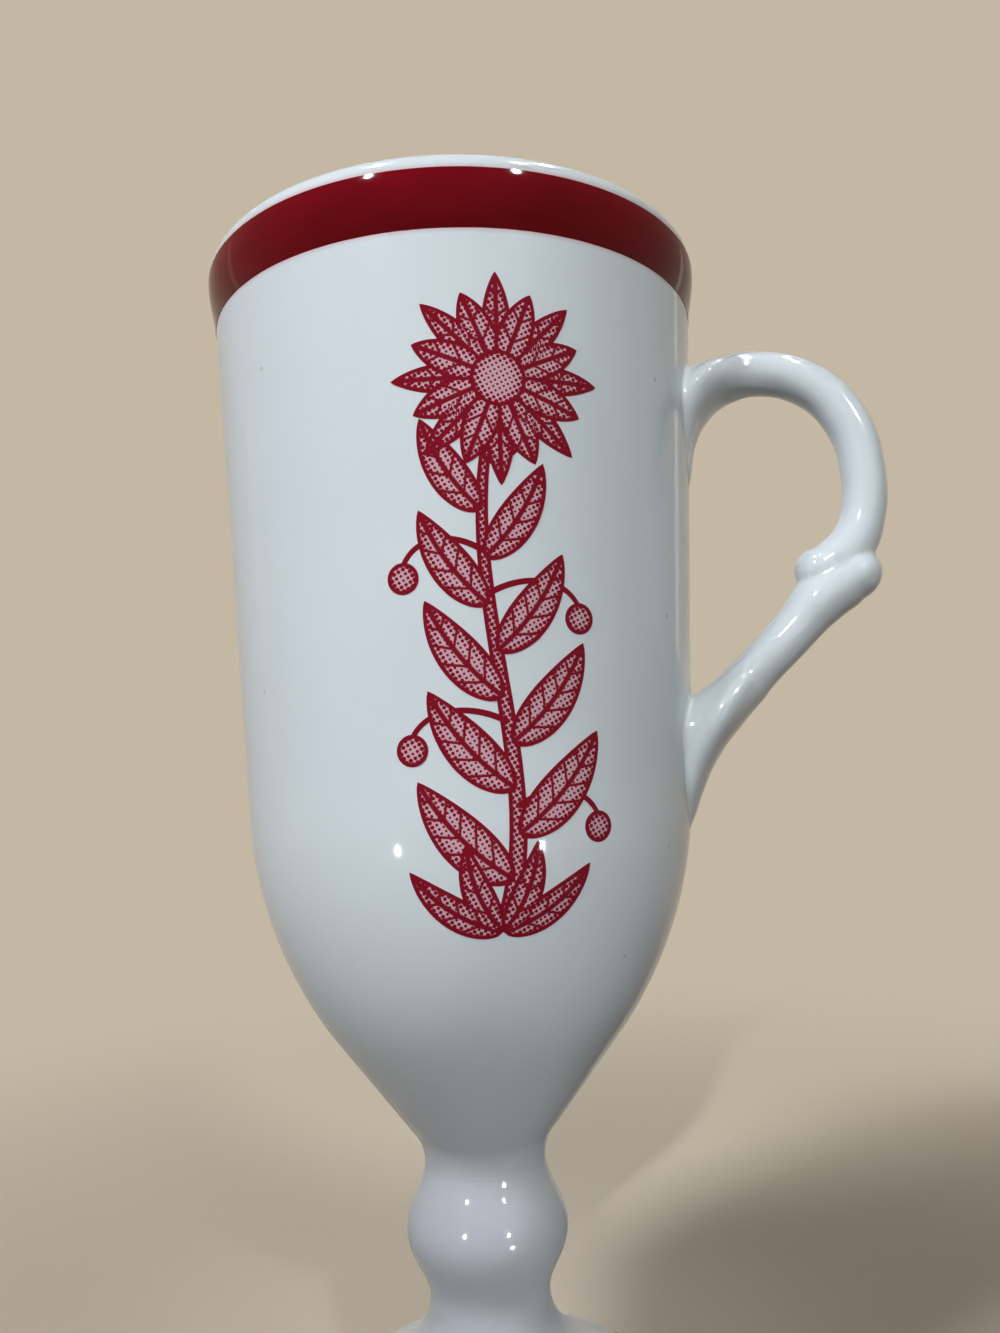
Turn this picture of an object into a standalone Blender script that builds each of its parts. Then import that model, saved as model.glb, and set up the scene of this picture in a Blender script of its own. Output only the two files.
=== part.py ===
"""A footed porcelain cup: turned bowl, knopped pedestal, looped handle, red rim band and a front print.

Metres, +Z up. The cup stands on the table at z = 0 with its handle along +X. The origin is under the middle
of the whole cup, handle included, so the turned axis stands a little towards -X.
"""

import math

import bmesh
import bpy
from mathutils import Matrix

MM = 0.001

# Foot and stem, from the table up
FOOT_RADIUS = 23.0 * MM
FOOT_EDGE_HEIGHT = 3.2 * MM
FOOT_RING_WIDTH = 3.0 * MM
FOOT_RECESS_DEPTH = 6.0 * MM
FOOT_FLARE_HEIGHT = 14.0 * MM
FLARE_ANGLE = math.radians(38.0)
FLARE_NECK_PULL = 6.1 * MM
FLARE_EDGE_PULL = 10.4 * MM
LOWER_NECK_RADIUS = 6.7 * MM
KNOP_RADIUS = 9.0 * MM
KNOP_LOWER_HALF = 7.0 * MM
KNOP_UPPER_HALF = 7.2 * MM

# Bowl, from the waist where it is stuck on the stem up to the lip
WAIST_RADIUS = 6.8 * MM
BOWL_HEIGHT = 101.9 * MM
NECK_FILLET_RADIUS = 5.5 * MM
CONE_ANGLE = math.radians(37.4)
SHOULDER_RADIUS = 45.0 * MM
WALL_TAPER = math.radians(2.94)
WALL_THICKNESS = 2.8 * MM
FLOOR_THICKNESS = 7.0 * MM
LIP_RADIUS = 28.8 * MM
LIP_ROUND_HEIGHT = 1.9 * MM

# Red band under the lip
BAND_HEIGHT = 5.6 * MM
BAND_FLARE = 0.75 * MM

# Handle, in the plane through the axis
HANDLE_THICKNESS = 5.0 * MM
HANDLE_WIDTH = 6.4 * MM
HANDLE_TOP_DROP = 12.2 * MM
FINGER_GAP = 16.1 * MM
LOOP_TOP_REACH = 7.2 * MM
LOOP_DROP = 12.8 * MM
UPPER_ROOT_DROP = 4.6 * MM
UPPER_NECK_DROP = 0.6 * MM
KNUCKLE_DROP = 11.1 * MM
KNUCKLE_INSET = 3.3 * MM
KNUCKLE_LENGTH = 9.5 * MM
KNUCKLE_THICKNESS = 6.2 * MM
KNUCKLE_WIDTH = 7.6 * MM
ARM_DROP = 18.2 * MM
ARM_THICKNESS = 5.3 * MM
ROOT_NECK_LENGTH = 3.6 * MM
ROOT_NECK_THICKNESS = 5.8 * MM
ROOT_THICKNESS = 10.3 * MM
ROOT_SINK = 1.5 * MM
ROOT_ANGLE = math.radians(24.0)

# Front print, as a thin fired panel on the wall
PRINT_WIDTH = 22.0 * MM
PRINT_HEIGHT = 62.0 * MM
PRINT_DROP = 5.0 * MM
PRINT_TURN = math.radians(21.0)

# Layers between pieces
JOIN_GAP = 0.3 * MM
SLIP_THICKNESS = 0.6 * MM
ENAMEL_THICKNESS = 0.3 * MM

# Points closer than this are one point
WELD = 0.01 * MM

# Facets
TURN_STEPS = 48
ARC_STEPS = 8
BAND_STEPS = 3
PRINT_STEPS = 8
HANDLE_STEPS = 8
HANDLE_BEVEL_STEPS = 5
KNUCKLE_SEGMENTS = 20
KNUCKLE_RINGS = 10

# Share of a radius that a Bezier handle takes to draw a quarter circle
QUARTER_BOW = 0.5523

# Heights and places that follow from the sizes above
LOWER_NECK_Z = FOOT_EDGE_HEIGHT + FOOT_FLARE_HEIGHT
KNOP_Z = LOWER_NECK_Z + KNOP_LOWER_HALF
WAIST_Z = KNOP_Z + KNOP_UPPER_HALF
RIM_Z = WAIST_Z + BOWL_HEIGHT
BAND_TOP_Z = RIM_Z - LIP_ROUND_HEIGHT
BAND_FOOT_Z = BAND_TOP_Z - BAND_HEIGHT
BAND_FOOT_RADIUS = LIP_RADIUS - BAND_FLARE
BAND_SEAT_DEPTH = JOIN_GAP + ENAMEL_THICKNESS
LUTING_DEPTH = SLIP_THICKNESS + 2 * JOIN_GAP
LOOP_TOP_Z = RIM_Z - HANDLE_TOP_DROP - HANDLE_THICKNESS / 2
LOOP_OUTER_Z = LOOP_TOP_Z - LOOP_DROP
KNUCKLE_Z = LOOP_OUTER_Z - KNUCKLE_DROP
ARM_ROOT_Z = KNUCKLE_Z - ARM_DROP
PRINT_TOP_Z = BAND_FOOT_Z - PRINT_DROP

# Linear colours and roughness of the finishes
PORCELAIN = (0.80, 0.82, 0.84)
SLIP = (0.78, 0.79, 0.80)
BAND_RED = (0.13, 0.004, 0.008)
PRINT_RED = (0.25, 0.012, 0.025)
GLAZE_ROUGHNESS = 0.12
SLIP_ROUGHNESS = 0.3


def arc(centre, radius, start, end):
    """Points (r, z) on a circular arc, from one angle to another in radians."""
    points = []
    for i in range(ARC_STEPS + 1):
        angle = start + (end - start) * i / ARC_STEPS
        points.append((centre[0] + radius * math.cos(angle), centre[1] + radius * math.sin(angle)))
    return points


def swell(start, end):
    """Points (r, z) on a soft S curve that leaves and arrives parallel to the axis."""
    points = []
    for i in range(ARC_STEPS + 1):
        share = i / ARC_STEPS
        blend = 0.5 - 0.5 * math.cos(math.pi * share)
        points.append((start[0] + (end[0] - start[0]) * blend, start[1] + (end[1] - start[1]) * share))
    return points


def wall_radius(z):
    """Outer radius of the straight, slightly tapering wall at height z."""
    return BAND_FOOT_RADIUS - (BAND_FOOT_Z - z) * math.tan(WALL_TAPER)


def neck_fillet_end():
    """Point (r, z) where the fillet above the waist runs into the straight cone."""
    r = WAIST_RADIUS + NECK_FILLET_RADIUS * (1 - math.cos(CONE_ANGLE))
    return r, WAIST_Z + NECK_FILLET_RADIUS * math.sin(CONE_ANGLE)


def shoulder_top_z():
    """Height where the straight wall turns into the shoulder arc that leads down to the cone."""
    cone_r, cone_z = neck_fillet_end()
    cone_slope = math.tan(CONE_ANGLE)
    cone_at_zero = cone_r - cone_z * cone_slope
    corner_z = (wall_radius(0.0) - cone_at_zero) / (cone_slope - math.tan(WALL_TAPER))
    tangent = SHOULDER_RADIUS * math.tan((CONE_ANGLE - WALL_TAPER) / 2)
    return corner_z + tangent * math.cos(WALL_TAPER)


def shoulder_centre():
    """Centre (r, z) of the shoulder arc."""
    top_z = shoulder_top_z()
    r = wall_radius(top_z) - SHOULDER_RADIUS * math.cos(WALL_TAPER)
    return r, top_z + SHOULDER_RADIUS * math.sin(WALL_TAPER)


def outer_radius(z):
    """Outer radius of the bowl at a height on its wall or shoulder."""
    if z >= shoulder_top_z():
        return wall_radius(z)
    centre_r, centre_z = shoulder_centre()
    return centre_r + math.sqrt(SHOULDER_RADIUS ** 2 - (z - centre_z) ** 2)


def bowl_outline(offset):
    """Points (r, z) down the bowl's outside, moved out by offset.

    They are the foot of the band, the middle of the wall, the shoulder arc and the fillet to the waist.
    """
    top_r = BAND_FOOT_RADIUS + offset * math.cos(WALL_TAPER)
    top = (top_r, BAND_FOOT_Z - offset * math.sin(WALL_TAPER))
    middle_z = (BAND_FOOT_Z + shoulder_top_z()) / 2
    middle = (wall_radius(middle_z) + offset / math.cos(WALL_TAPER), middle_z)
    shoulder = arc(shoulder_centre(), SHOULDER_RADIUS + offset, -WALL_TAPER, -CONE_ANGLE)
    neck_centre = (WAIST_RADIUS + NECK_FILLET_RADIUS, WAIST_Z)
    neck = arc(neck_centre, NECK_FILLET_RADIUS - offset, math.pi - CONE_ANGLE, math.pi)
    return [top, middle] + shoulder + neck


def wall_and_shoulder(offset):
    """The part of the bowl's outline above the cone, moved out by offset."""
    return bowl_outline(offset)[:3 + ARC_STEPS]


def cavity_outline():
    """Points (r, z) up the inside of the bowl, from the middle of its rounded floor to under the lip."""
    inside = wall_and_shoulder(-WALL_THICKNESS)
    cone_r, cone_z = inside[-1]
    floor_z = WAIST_Z + FLOOR_THICKNESS
    reach = cone_r * math.cos(CONE_ANGLE) + (floor_z - cone_z) * math.sin(CONE_ANGLE)
    floor_round = reach / (1 - math.sin(CONE_ANGLE))
    floor = arc((0.0, floor_z + floor_round), floor_round, -math.pi / 2, -CONE_ANGLE)
    floor[0] = (0.0, floor_z)
    return floor + inside[::-1]


def lip_outline():
    """Points (r, z) over the rounded lip, from inside to outside."""
    half = WALL_THICKNESS / 2
    points = []
    for i in range(ARC_STEPS + 1):
        angle = math.pi * (1 - i / ARC_STEPS)
        r = LIP_RADIUS - half + half * math.cos(angle)
        points.append((r, BAND_TOP_Z + LIP_ROUND_HEIGHT * math.sin(angle)))
    return points


def band_outline(offset, inset):
    """Points (r, z) down the flared strip under the lip, moved out by offset, its ends drawn in by inset."""
    points = []
    for i in range(BAND_STEPS + 1):
        z = BAND_TOP_Z - inset - (BAND_HEIGHT - 2 * inset) * i / BAND_STEPS
        flare = BAND_FLARE * ((z - BAND_FOOT_Z) / BAND_HEIGHT) ** 2
        points.append((BAND_FOOT_RADIUS + flare + offset, z))
    return points


def full_bowl_outline():
    """Points (r, z) round the whole bowl: cavity, lip, seat of the band, outside and face under the waist."""
    face_z = WAIST_Z + LUTING_DEPTH / 2
    outside = [point for point in bowl_outline(0.0) if point[1] > face_z]
    seat = band_outline(-BAND_SEAT_DEPTH, 0.0)
    return cavity_outline() + lip_outline() + seat + outside + [(WAIST_RADIUS, face_z), (0.0, face_z)]


def flare_outline(edge_start):
    """Points (r, z) on the trumpet-shaped flare of the foot, from the lower neck to where its edge begins."""
    neck = (LOWER_NECK_RADIUS, LOWER_NECK_Z)
    below_neck = (LOWER_NECK_RADIUS, LOWER_NECK_Z - FLARE_NECK_PULL)
    pull_r = FLARE_EDGE_PULL * math.cos(FLARE_ANGLE)
    pull_z = FLARE_EDGE_PULL * math.sin(FLARE_ANGLE)
    before_edge = (edge_start[0] - pull_r, edge_start[1] + pull_z)
    pulls = (neck, below_neck, before_edge, edge_start)
    points = []
    for i in range(ARC_STEPS + 1):
        t = i / ARC_STEPS
        weights = ((1 - t) ** 3, 3 * t * (1 - t) ** 2, 3 * t ** 2 * (1 - t), t ** 3)
        r = sum(weight * pull[0] for weight, pull in zip(weights, pulls))
        z = sum(weight * pull[1] for weight, pull in zip(weights, pulls))
        points.append((r, z))
    return points


def pedestal_outline():
    """Points (r, z) down the pedestal, over its knop and flare, under the foot and into the recess."""
    face_z = WAIST_Z - LUTING_DEPTH / 2
    upper = swell((WAIST_RADIUS, WAIST_Z), (KNOP_RADIUS, KNOP_Z))
    lower = swell((KNOP_RADIUS, KNOP_Z), (LOWER_NECK_RADIUS, LOWER_NECK_Z))
    edge_round = FOOT_EDGE_HEIGHT / (1 + math.cos(FLARE_ANGLE))
    edge_r = FOOT_RADIUS - edge_round
    edge = arc((edge_r, edge_round), edge_round, math.pi / 2 - FLARE_ANGLE, -math.pi / 2)
    ring_inner = edge_r - FOOT_RING_WIDTH
    recess = []
    for i in range(ARC_STEPS + 1):
        angle = math.pi / 2 * i / ARC_STEPS
        recess.append((ring_inner * math.cos(angle), FOOT_RECESS_DEPTH * math.sin(angle)))
    recess[-1] = (0.0, FOOT_RECESS_DEPTH)
    neck = [(0.0, face_z), (WAIST_RADIUS, face_z)] + [point for point in upper if point[1] < face_z]
    return neck + lower[1:] + flare_outline(edge[0])[1:] + edge[1:] + recess


def slip_disc_outline():
    """Points (r, z) round the layer of slip between the bowl and the stem."""
    top_z = WAIST_Z + SLIP_THICKNESS / 2
    low_z = WAIST_Z - SLIP_THICKNESS / 2
    return [(0.0, top_z), (WAIST_RADIUS, top_z), (WAIST_RADIUS, low_z), (0.0, low_z)]


def print_outline():
    """Points (r, z) down the wall where the front print lies."""
    points = []
    for i in range(PRINT_STEPS + 1):
        z = PRINT_TOP_Z - PRINT_HEIGHT * i / PRINT_STEPS
        points.append((outer_radius(z) + JOIN_GAP, z))
    return points


def handle_outer_x():
    """Distance of the loop's middle line from the axis, where it stands out most."""
    return wall_radius(LOOP_OUTER_Z) + FINGER_GAP + HANDLE_THICKNESS / 2


def handle_path():
    """Bezier points of the handle's middle line: (x, z), the ways back and on from it, and the thickness."""
    wall_x = wall_radius(LOOP_TOP_Z)
    top_x = wall_x + LOOP_TOP_REACH
    outer_x = handle_outer_x()
    knuckle_x = outer_x - KNUCKLE_INSET
    root_x = wall_radius(ARM_ROOT_Z) - ROOT_SINK
    arm_length = math.dist((knuckle_x, KNUCKLE_Z), (root_x, ARM_ROOT_Z))
    along = ((root_x - knuckle_x) / arm_length, (ARM_ROOT_Z - KNUCKLE_Z) / arm_length)
    neck_share = arm_length - ROOT_NECK_LENGTH - ROOT_SINK
    arm_neck = (knuckle_x + along[0] * neck_share, KNUCKLE_Z + along[1] * neck_share)
    upper_root = (wall_x - ROOT_SINK, LOOP_TOP_Z - UPPER_ROOT_DROP)
    upper_neck = (wall_x + ROOT_NECK_LENGTH, LOOP_TOP_Z - UPPER_NECK_DROP)
    short = ROOT_NECK_LENGTH / 3
    rise = short * math.tan(ROOT_ANGLE)
    bend = KNUCKLE_DROP / 3
    top_bow = QUARTER_BOW * (outer_x - top_x)
    side_bow = QUARTER_BOW * LOOP_DROP

    def along_arm(length):
        return along[0] * length, along[1] * length

    return [
        (upper_root, (-short, -rise), (short, rise), ROOT_THICKNESS),
        (upper_neck, (-short, -rise), (short, rise), ROOT_NECK_THICKNESS),
        ((top_x, LOOP_TOP_Z), (-short, 0.0), (top_bow, 0.0), HANDLE_THICKNESS),
        ((outer_x, LOOP_OUTER_Z), (0.0, side_bow), (0.0, -bend), HANDLE_THICKNESS),
        ((knuckle_x, KNUCKLE_Z), along_arm(-bend), along_arm(bend), ARM_THICKNESS),
        (arm_neck, along_arm(-short), along_arm(short), ROOT_NECK_THICKNESS),
        ((root_x, ARM_ROOT_Z), (short, rise), (-short, -rise), ROOT_THICKNESS),
    ]


def clear_scene():
    """Remove every object, so that the model starts from an empty scene."""
    for obj in list(bpy.data.objects):
        bpy.data.objects.remove(obj, do_unlink=True)


def new_collection(name):
    """A new collection in the scene."""
    collection = bpy.data.collections.new(name)
    bpy.context.scene.collection.children.link(collection)
    return collection


def finish(name, colour, roughness):
    """A plain non-metallic material of one colour."""
    material = bpy.data.materials.new(name)
    material.use_nodes = True
    shader = material.node_tree.nodes["Principled BSDF"]
    shader.inputs["Base Color"].default_value = (*colour, 1.0)
    shader.inputs["Roughness"].default_value = roughness
    shader.inputs["Metallic"].default_value = 0.0
    material.diffuse_color = (*colour, 1.0)
    return material


def turned(name, outline, closed=False, angle=2 * math.pi, steps=TURN_STEPS):
    """A turned object: its outline in the XZ plane and a Screw modifier round the axis."""
    mesh = bpy.data.meshes.new(name)
    edges = [(i, i + 1) for i in range(len(outline) - 1)]
    if closed:
        edges.append((len(outline) - 1, 0))
    mesh.from_pydata([(r, 0.0, z) for r, z in outline], edges, [])
    obj = bpy.data.objects.new(name, mesh)
    turn = obj.modifiers.new("turn", "SCREW")
    turn.axis = "Z"
    turn.angle = angle
    turn.steps = steps
    turn.render_steps = steps
    turn.use_merge_vertices = True
    turn.merge_threshold = WELD
    turn.use_smooth_shade = True
    return obj


def cut(obj, tool, operation):
    """Add a Boolean modifier that cuts with, keeps inside or joins another object."""
    step = obj.modifiers.new(tool.name, "BOOLEAN")
    step.operation = operation
    step.solver = "EXACT"
    step.object = tool


def handle_blank():
    """Mesh of the whole handle before it is trimmed to the wall: an oval strand along the handle's path."""
    curve = bpy.data.curves.new("handle_blank", "CURVE")
    curve.dimensions = "3D"
    curve.bevel_depth = HANDLE_THICKNESS / 2
    curve.bevel_resolution = HANDLE_BEVEL_STEPS
    curve.resolution_u = HANDLE_STEPS
    curve.render_resolution_u = HANDLE_STEPS
    curve.use_fill_caps = True
    path = handle_path()
    spline = curve.splines.new("BEZIER")
    spline.bezier_points.add(len(path) - 1)
    spline.radius_interpolation = "BSPLINE"
    for point, ((x, z), back, onward, thickness) in zip(spline.bezier_points, path):
        point.handle_left_type = "FREE"
        point.handle_right_type = "FREE"
        point.co = (x, 0.0, z)
        point.handle_left = (x + back[0], 0.0, z + back[1])
        point.handle_right = (x + onward[0], 0.0, z + onward[1])
        point.radius = thickness / HANDLE_THICKNESS
    strand = bpy.data.objects.new("handle_blank", curve)
    bpy.context.scene.collection.objects.link(strand)
    bpy.context.view_layer.update()
    mesh = bpy.data.meshes.new_from_object(strand.evaluated_get(bpy.context.evaluated_depsgraph_get()))
    bpy.data.objects.remove(strand, do_unlink=True)
    shape = bmesh.new()
    shape.from_mesh(mesh)
    bmesh.ops.remove_doubles(shape, verts=shape.verts, dist=WELD)
    widen = Matrix.Scale(HANDLE_WIDTH / HANDLE_THICKNESS, 4, (0, 1, 0))
    bmesh.ops.transform(shape, matrix=widen, verts=shape.verts)
    shape.to_mesh(mesh)
    shape.free()
    mesh.materials.clear()
    return mesh


def knuckle():
    """The egg-shaped swelling where the loop runs into the straight arm."""
    bpy.ops.mesh.primitive_uv_sphere_add(segments=KNUCKLE_SEGMENTS, ring_count=KNUCKLE_RINGS, radius=0.5)
    obj = bpy.context.active_object
    obj.name = "knuckle_guide"
    obj.data.transform(Matrix.Diagonal((KNUCKLE_LENGTH, KNUCKLE_WIDTH, KNUCKLE_THICKNESS, 1.0)))
    obj.data.transform(Matrix.Translation((handle_outer_x() - KNUCKLE_INSET, 0.0, KNUCKLE_Z)))
    for collection in list(obj.users_collection):
        collection.objects.unlink(obj)
    return obj


def slip_ring(name, first, last):
    """Guide ring round the wall, as thick as the slip, over a stretch of the bowl's outline."""
    outer = wall_and_shoulder(JOIN_GAP + SLIP_THICKNESS)[first:last]
    inner = wall_and_shoulder(JOIN_GAP)[first:last]
    return turned(name, outer + inner[::-1], closed=True)


def wall_guide():
    """Guide solid that stands off the bowl by the depth of a slip joint, to trim the handle's roots."""
    outline = bowl_outline(LUTING_DEPTH)
    return turned("wall_guide", [(0.0, outline[0][1])] + outline + [(0.0, outline[-1][1])])


def front_print():
    """The thin panel of fired print on the front of the wall."""
    width_angle = PRINT_WIDTH / wall_radius(PRINT_TOP_Z - PRINT_HEIGHT / 2)
    obj = turned("front_print", print_outline(), angle=width_angle, steps=PRINT_STEPS)
    obj.rotation_euler.z = PRINT_TURN - math.pi / 2 - width_angle / 2
    skin = obj.modifiers.new("enamel", "SOLIDIFY")
    skin.thickness = ENAMEL_THICKNESS
    skin.offset = 1.0
    return obj


def main():
    """Build every piece of the cup."""
    clear_scene()
    cup = new_collection("footed_cup")
    guides = new_collection("guides")
    axis = bpy.data.objects.new("cup_axis", None)
    axis.location.x = (LIP_RADIUS - handle_outer_x() - HANDLE_THICKNESS / 2) / 2
    cup.objects.link(axis)

    def add(obj, colour, roughness):
        cup.objects.link(obj)
        obj.parent = axis
        obj.data.materials.append(finish(obj.name, colour, roughness))
        return obj

    def guide(obj):
        guides.objects.link(obj)
        obj.parent = axis
        obj.hide_render = True
        obj.display_type = "WIRE"
        return obj

    add(turned("bowl", full_bowl_outline()), PORCELAIN, GLAZE_ROUGHNESS)
    add(turned("pedestal", pedestal_outline()), PORCELAIN, GLAZE_ROUGHNESS)
    add(turned("stem_slip", slip_disc_outline()), SLIP, SLIP_ROUGHNESS)
    band = band_outline(0.0, JOIN_GAP) + band_outline(-ENAMEL_THICKNESS, JOIN_GAP)[::-1]
    add(turned("rim_band", band, closed=True), BAND_RED, GLAZE_ROUGHNESS)
    add(front_print(), PRINT_RED, GLAZE_ROUGHNESS)

    blank = handle_blank()
    handle = add(bpy.data.objects.new("handle", blank), PORCELAIN, GLAZE_ROUGHNESS)
    cut(handle, guide(knuckle()), "UNION")
    cut(handle, guide(wall_guide()), "DIFFERENCE")
    upper_slip = add(bpy.data.objects.new("upper_handle_slip", blank.copy()), SLIP, SLIP_ROUGHNESS)
    cut(upper_slip, guide(slip_ring("upper_slip_ring", 0, 2)), "INTERSECT")
    lower_slip = add(bpy.data.objects.new("lower_handle_slip", blank.copy()), SLIP, SLIP_ROUGHNESS)
    cut(lower_slip, guide(slip_ring("lower_slip_ring", 1, None)), "INTERSECT")
    for obj in (handle, upper_slip, lower_slip):
        obj.data.shade_smooth()


if __name__ == "__main__":
    main()
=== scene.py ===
"""Looks of a footed porcelain cup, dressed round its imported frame.

Sizes in the classes are millimetres, with radii and reaches measured from the cup's turned axis and heights from
the table. MM turns them into the metres of the frame. The place of the axis, axis_x, and the studio's floor and
lamps are in metres from the start.
"""

import logging
import math
from collections.abc import Callable
from dataclasses import dataclass
from enum import Enum

import bpy
from mathutils import Matrix, Vector

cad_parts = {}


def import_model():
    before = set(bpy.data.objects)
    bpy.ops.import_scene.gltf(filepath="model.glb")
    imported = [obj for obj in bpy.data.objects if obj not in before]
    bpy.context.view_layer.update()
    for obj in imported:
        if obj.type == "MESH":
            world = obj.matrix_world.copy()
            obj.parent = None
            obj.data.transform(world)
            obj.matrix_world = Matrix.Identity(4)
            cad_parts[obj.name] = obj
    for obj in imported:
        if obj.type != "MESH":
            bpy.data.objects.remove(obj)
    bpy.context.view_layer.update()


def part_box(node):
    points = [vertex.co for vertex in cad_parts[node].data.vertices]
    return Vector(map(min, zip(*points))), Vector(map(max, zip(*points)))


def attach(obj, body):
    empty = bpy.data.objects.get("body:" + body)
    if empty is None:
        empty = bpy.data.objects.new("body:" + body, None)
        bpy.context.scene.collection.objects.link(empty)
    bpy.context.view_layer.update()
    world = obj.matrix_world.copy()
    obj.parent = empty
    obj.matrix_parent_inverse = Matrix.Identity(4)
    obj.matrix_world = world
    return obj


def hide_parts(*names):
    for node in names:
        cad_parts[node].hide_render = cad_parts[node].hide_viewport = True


MM = 0.001
BODY = "root"
TURN_STEPS = 160
WELD = 0.005 * MM
UP = Vector((0.0, 0.0, 1.0))
OUT = Vector((1.0, 0.0, 0.0))

Point = tuple[float, float]
Station = tuple[float, float, float]
log = logging.getLogger("footed_cup")


class Trim(Enum):
    """Ways to trim one piece with another."""

    KEEP_INSIDE = "INTERSECT"
    CUT_AWAY = "DIFFERENCE"


class Layer(Enum):
    """Heights of the print's parts over its lowest layer in millimetres, so that none flickers through another."""

    STALK = 0.004
    LEAF = 0.012
    BASE_LEAF = 0.026
    BERRY = 0.03
    PETAL = 0.034
    HEART = 0.056


class Shine(Enum):
    """What a lamp gives a surface: soft shading, or only its small bright glint in the gloss."""

    SHADING = "shading"
    GLINT = "glint"


@dataclass(frozen=True)
class Ramp:
    """A measure that changes evenly from one end of a stem to the other."""

    start: float
    change: float

    def at(self, share: float) -> float:
        """Measure at a share of the way."""
        return self.start + self.change * share


def srgb(hex_colour: str) -> tuple[float, float, float, float]:
    """Turn an sRGB hex value into a linear colour.

    Args:
        hex_colour: Six hex digits after a hash sign.

    Returns:
        Red, green, blue and a full alpha.
    """
    channels = [int(hex_colour[i:i + 2], 16) / 255 for i in (1, 3, 5)]
    linear = [c / 12.92 if c <= 0.04045 else ((c + 0.055) / 1.055) ** 2.4 for c in channels]
    return linear[0], linear[1], linear[2], 1.0


def add_node(tree: bpy.types.NodeTree, kind: str, settings: dict[str | int, object],
             links: dict[str | int, bpy.types.NodeSocket]) -> bpy.types.Node:
    """Add a shader node with its settings and links.

    Args:
        tree: Node tree that gets the node.
        kind: Blender's name for the node's type.
        settings: Properties by name, or input values by socket name or number.
        links: Output sockets to link, by input socket name or number.

    Returns:
        The new node.
    """
    node = tree.nodes.new(kind)
    for key, value in settings.items():
        if isinstance(key, str) and hasattr(node, key):
            setattr(node, key, value)
        else:
            node.inputs[key].default_value = value
    for key, socket in links.items():
        tree.links.new(socket, node.inputs[key])
    return node


def arc(centre: Point, radius: float, start: float, end: float, steps: int) -> list[Point]:
    """Points on a circular arc.

    Args:
        centre: Middle of the circle.
        radius: Radius of the circle.
        start: First angle in radians.
        end: Last angle in radians.
        steps: Number of straight steps.

    Returns:
        The points, both ends included.
    """
    angles = [start + (end - start) * i / steps for i in range(steps + 1)]
    return [(centre[0] + radius * math.cos(a), centre[1] + radius * math.sin(a)) for a in angles]


def swell(start: Point, end: Point, steps: int) -> list[Point]:
    """Points on a soft S curve that leaves and arrives parallel to the axis.

    Args:
        start: First radius and height.
        end: Last radius and height.
        steps: Number of straight steps.

    Returns:
        The points, both ends included.
    """
    points = []
    for i in range(steps + 1):
        share = i / steps
        blend = 0.5 - 0.5 * math.cos(math.pi * share)
        points.append((start[0] + (end[0] - start[0]) * blend, start[1] + (end[1] - start[1]) * share))
    return points


def bezier(pulls: tuple[Point, Point, Point, Point], t: float) -> Point:
    """Point on a cubic curve.

    Args:
        pulls: First end, two pulls between the ends, and last end.
        t: Share of the way.

    Returns:
        The point.
    """
    weights = ((1 - t) ** 3, 3 * t * (1 - t) ** 2, 3 * t ** 2 * (1 - t), t ** 3)
    return (sum(w * pull[0] for w, pull in zip(weights, pulls)),
            sum(w * pull[1] for w, pull in zip(weights, pulls)))


def deselect_all() -> None:
    """Leave edit mode and deselect every object."""
    if bpy.context.mode != "OBJECT":
        bpy.ops.object.mode_set(mode="OBJECT")
    bpy.ops.object.select_all(action="DESELECT")


def pick(piece: bpy.types.Object) -> None:
    """Make one piece the only selected and active object.

    Args:
        piece: Object to pick.
    """
    deselect_all()
    piece.select_set(True)
    bpy.context.view_layer.objects.active = piece


def settle(piece: bpy.types.Object, name: str, smooth_angle: float = math.radians(40.0)) -> bpy.types.Object:
    """Name a finished piece, put its place into its mesh and shade it smooth.

    Args:
        piece: The finished object.
        name: Name of the piece.
        smooth_angle: Edges sharper than this stay sharp.

    Returns:
        The same piece.
    """
    piece.name = name
    piece.data.name = name
    pick(piece)
    bpy.ops.object.transform_apply(location=True, rotation=True, scale=True)
    bpy.ops.object.shade_smooth_by_angle(angle=smooth_angle)
    return piece


def turned(name: str, outline: list[Point], axis_x: float, steps: int = TURN_STEPS) -> bpy.types.Object:
    """Draw an outline by extruding one point along it, then spin it round the cup's axis.

    Args:
        name: Name of the piece.
        outline: Radii and heights in millimetres.
        axis_x: Place of the turned axis in metres.
        steps: Number of steps round the axis.

    Returns:
        The turned piece.
    """
    deselect_all()
    start = Vector((axis_x + outline[0][0] * MM, 0.0, outline[0][1] * MM))
    bpy.ops.mesh.primitive_plane_add(size=MM, location=start)
    piece = bpy.context.active_object
    bpy.ops.object.mode_set(mode="EDIT")
    bpy.ops.mesh.merge(type="CENTER")
    for (r, z), (next_r, next_z) in zip(outline, outline[1:]):
        step = ((next_r - r) * MM, 0.0, (next_z - z) * MM)
        bpy.ops.mesh.extrude_region_move(TRANSFORM_OT_translate={"value": step})
    bpy.ops.mesh.select_all(action="SELECT")
    bpy.ops.mesh.spin(steps=steps, angle=2 * math.pi, center=(axis_x, 0.0, 0.0), axis=(0.0, 0.0, 1.0))
    bpy.ops.mesh.select_all(action="SELECT")
    bpy.ops.mesh.remove_doubles(threshold=WELD)
    bpy.ops.mesh.normals_make_consistent(inside=False)
    return settle(piece, name)


def apply_modifiers(piece: bpy.types.Object) -> None:
    """Apply every modifier of a piece, in order.

    Args:
        piece: Object that changes.
    """
    pick(piece)
    for modifier in list(piece.modifiers):
        bpy.ops.object.modifier_apply(modifier=modifier.name)


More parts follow.
